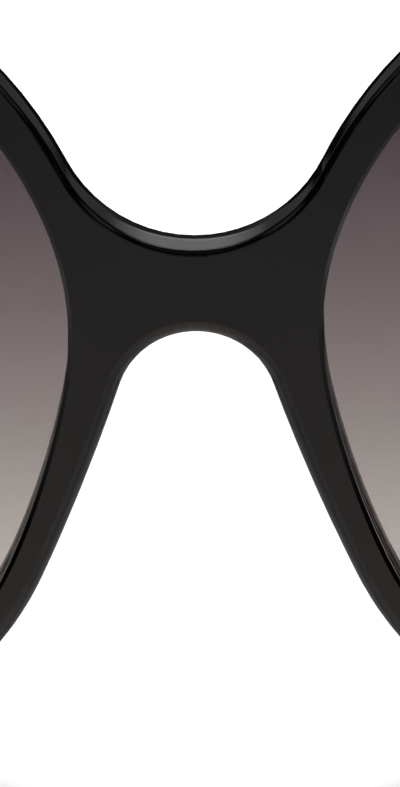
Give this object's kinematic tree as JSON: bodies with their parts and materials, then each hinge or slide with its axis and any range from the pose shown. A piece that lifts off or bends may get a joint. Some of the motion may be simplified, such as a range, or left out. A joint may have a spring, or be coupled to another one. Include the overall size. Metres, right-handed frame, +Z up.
{
  "type": "oversized sunglasses",
  "caption": "Oversized acetate sunglasses with a low notched bridge, large curved gradient lenses in thin glossy rims and folding temples on barrel hinges.",
  "frame": {"origin": "on the floor under the middle of the open sunglasses, which stand on the two rims and the two temple tips", "axes": "+Z up, the front faces -Y and the temples reach to +Y, +X is the wearer's left"},
  "size_m": [0.149, 0.1514, 0.0632],
  "materials": {
    "black_acetate": "polished black acetate",
    "nose_pad_acetate": "polished black acetate, bonded on",
    "gradient_lens": "clear polished resin, grey at the top fading to pale below",
    "hinge_metal": "plated nickel silver",
    "hinge_screw_steel": "turned steel",
    "core_wire": "drawn wire"
  },
  "bodies": {
    "front": {"front_frame": "black_acetate", "left_lens": "gradient_lens", "right_lens": "gradient_lens", "left_nose_pad": "nose_pad_acetate", "right_nose_pad": "nose_pad_acetate", "left_front_leaf": "hinge_metal", "right_front_leaf": "hinge_metal", "left_front_upper_screw": "hinge_screw_steel", "right_front_upper_screw": "hinge_screw_steel", "left_front_lower_screw": "hinge_screw_steel", "right_front_lower_screw": "hinge_screw_steel", "left_hinge_screw": "hinge_screw_steel", "right_hinge_screw": "hinge_screw_steel"},
    "left_arm": {"left_temple": "black_acetate", "left_temple_leaf": "hinge_metal", "left_temple_near_screw": "hinge_screw_steel", "left_temple_far_screw": "hinge_screw_steel", "left_core_wire": "core_wire"},
    "right_arm": {"right_temple": "black_acetate", "right_temple_leaf": "hinge_metal", "right_temple_near_screw": "hinge_screw_steel", "right_temple_far_screw": "hinge_screw_steel", "right_core_wire": "core_wire"}
  },
  "joints": [
    {"name": "left_temple_fold", "type": "hinge", "parent": "front", "child": "left_arm", "pos_m": [0.069, -0.05614, 0.0517], "axis": [0, 0, 1], "range_deg": [0, 90]},
    {"name": "right_temple_fold", "type": "hinge", "parent": "front", "child": "right_arm", "pos_m": [-0.069, -0.05614, 0.0517], "axis": [0, 0, -1], "range_deg": [0, 86.5]}
  ]
}
